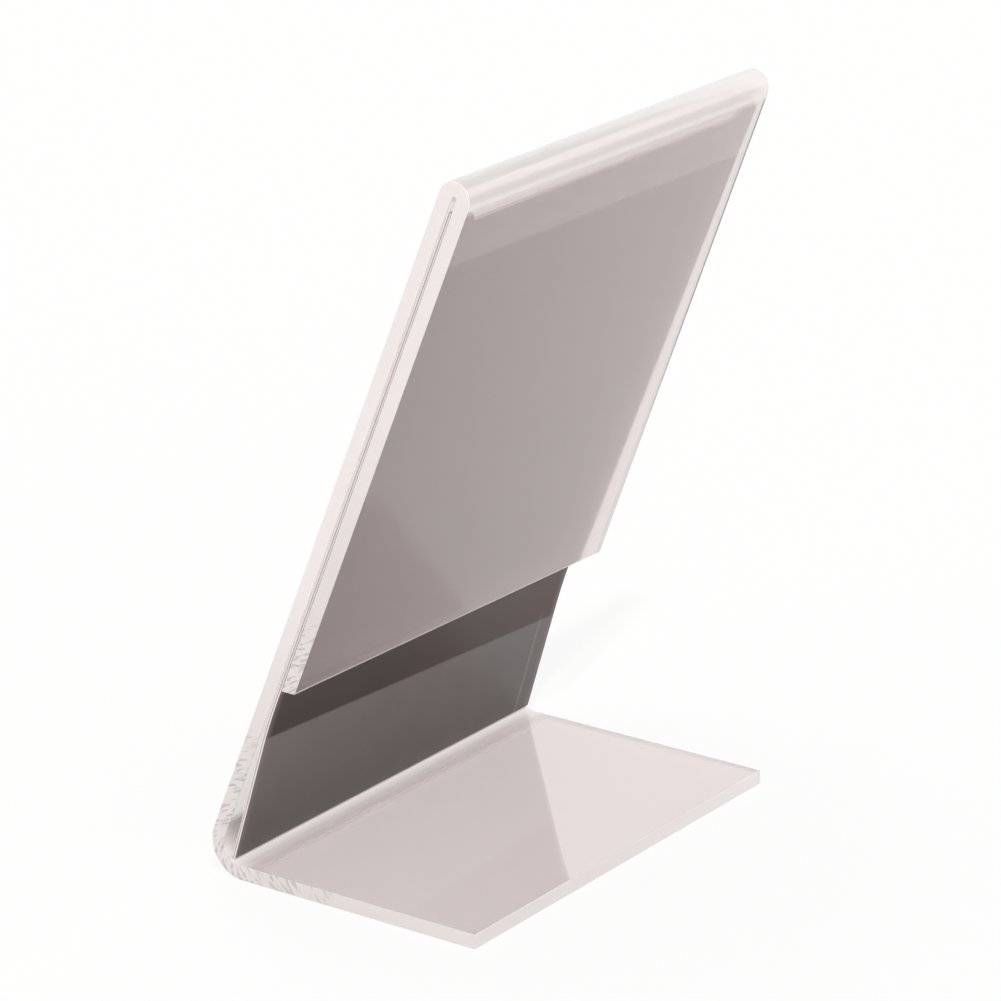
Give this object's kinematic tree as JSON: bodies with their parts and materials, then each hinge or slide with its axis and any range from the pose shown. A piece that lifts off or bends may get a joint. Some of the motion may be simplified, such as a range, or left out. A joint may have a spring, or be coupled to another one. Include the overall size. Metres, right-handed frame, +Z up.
{
  "type": "acrylic photo frame",
  "caption": "Slant-back photo holder bent from one strip of clear acrylic, with a print and a dark backing card that slide sideways out of its folded pocket.",
  "frame": {"origin": "on the surface the holder stands on, at the centre of its outline seen from above", "axes": "+X across the picture, the picture faces -Y and leans back over the base, which reaches towards +Y, +Z up"},
  "size_m": [0.1006, 0.0636, 0.1506],
  "materials": {
    "clear_acrylic": "clear cast acrylic sheet, polished faces, fine saw marks on the side edges",
    "dark_card": "smooth dark grey-brown coated card, satin",
    "photo_paper": null
  },
  "bodies": {
    "holder": {"acrylic_holder": "clear_acrylic"},
    "card": {"backing_card": "dark_card"},
    "print": {"picture_print": "photo_paper"}
  },
  "joints": [
    {"name": "card_slide", "type": "slide", "parent": "holder", "child": "card", "axis": [1, 0, 0], "range_m": [-0.09, 0.09]},
    {"name": "print_slide", "type": "slide", "parent": "holder", "child": "print", "axis": [1, 0, 0], "range_m": [-0.09, 0.09]}
  ]
}
